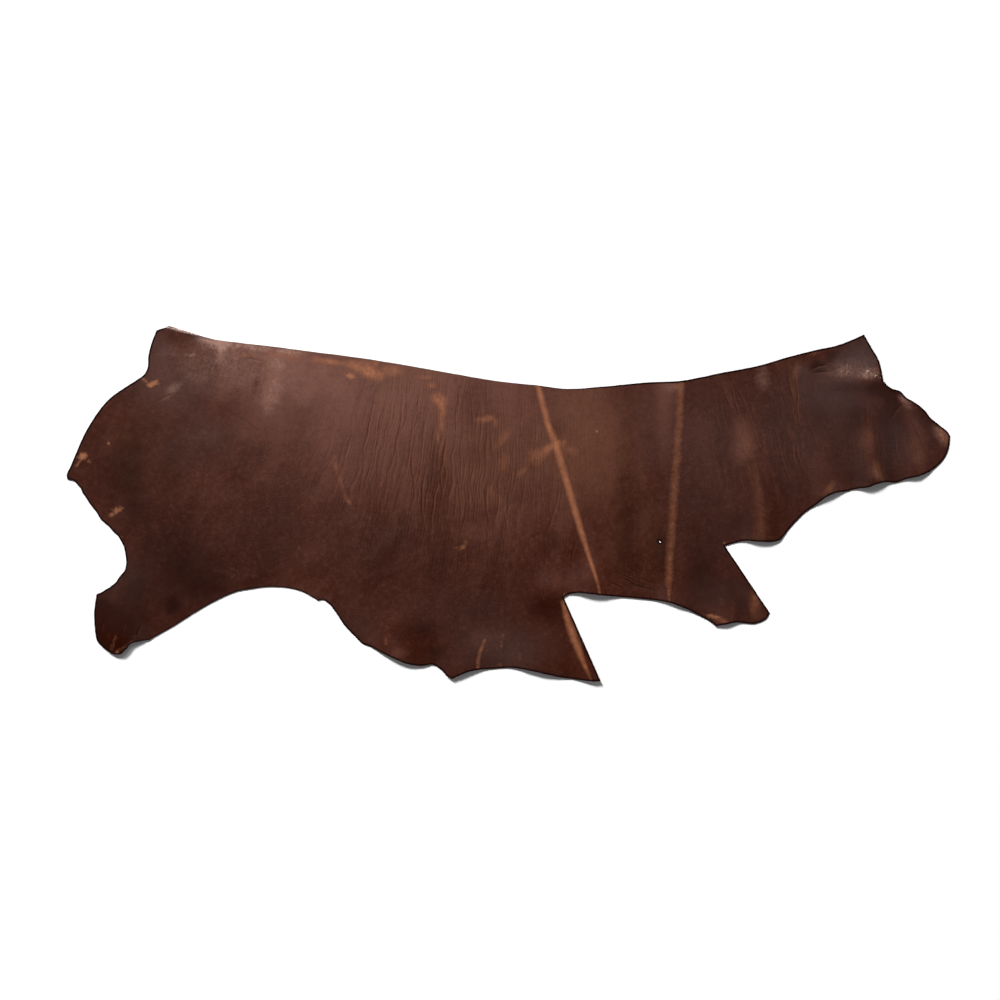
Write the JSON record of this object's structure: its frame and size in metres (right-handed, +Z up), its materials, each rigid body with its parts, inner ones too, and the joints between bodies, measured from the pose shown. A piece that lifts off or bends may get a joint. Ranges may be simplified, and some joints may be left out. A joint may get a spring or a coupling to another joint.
{
  "type": "leather side",
  "caption": "Whole side of dark brown pull-up leather with its natural outline of butt, shanks, belly and neck, lying flat with the grain up and its cut edge gently waved.",
  "frame": {"origin": "on the floor, under the middle of the outline's box", "axes": "+X from the butt to the muzzle, +Y from the belly to the backbone, +Z up, out of the grain side"},
  "size_m": [2.6492, 1.0671, 0.014],
  "materials": {
    "pull_up_leather": "dark brown pull-up leather, waxed grain with a soft sheen, tan where it was bent or scuffed"
  },
  "bodies": {
    "root": {"hide": "pull_up_leather"}
  },
  "joints": []
}
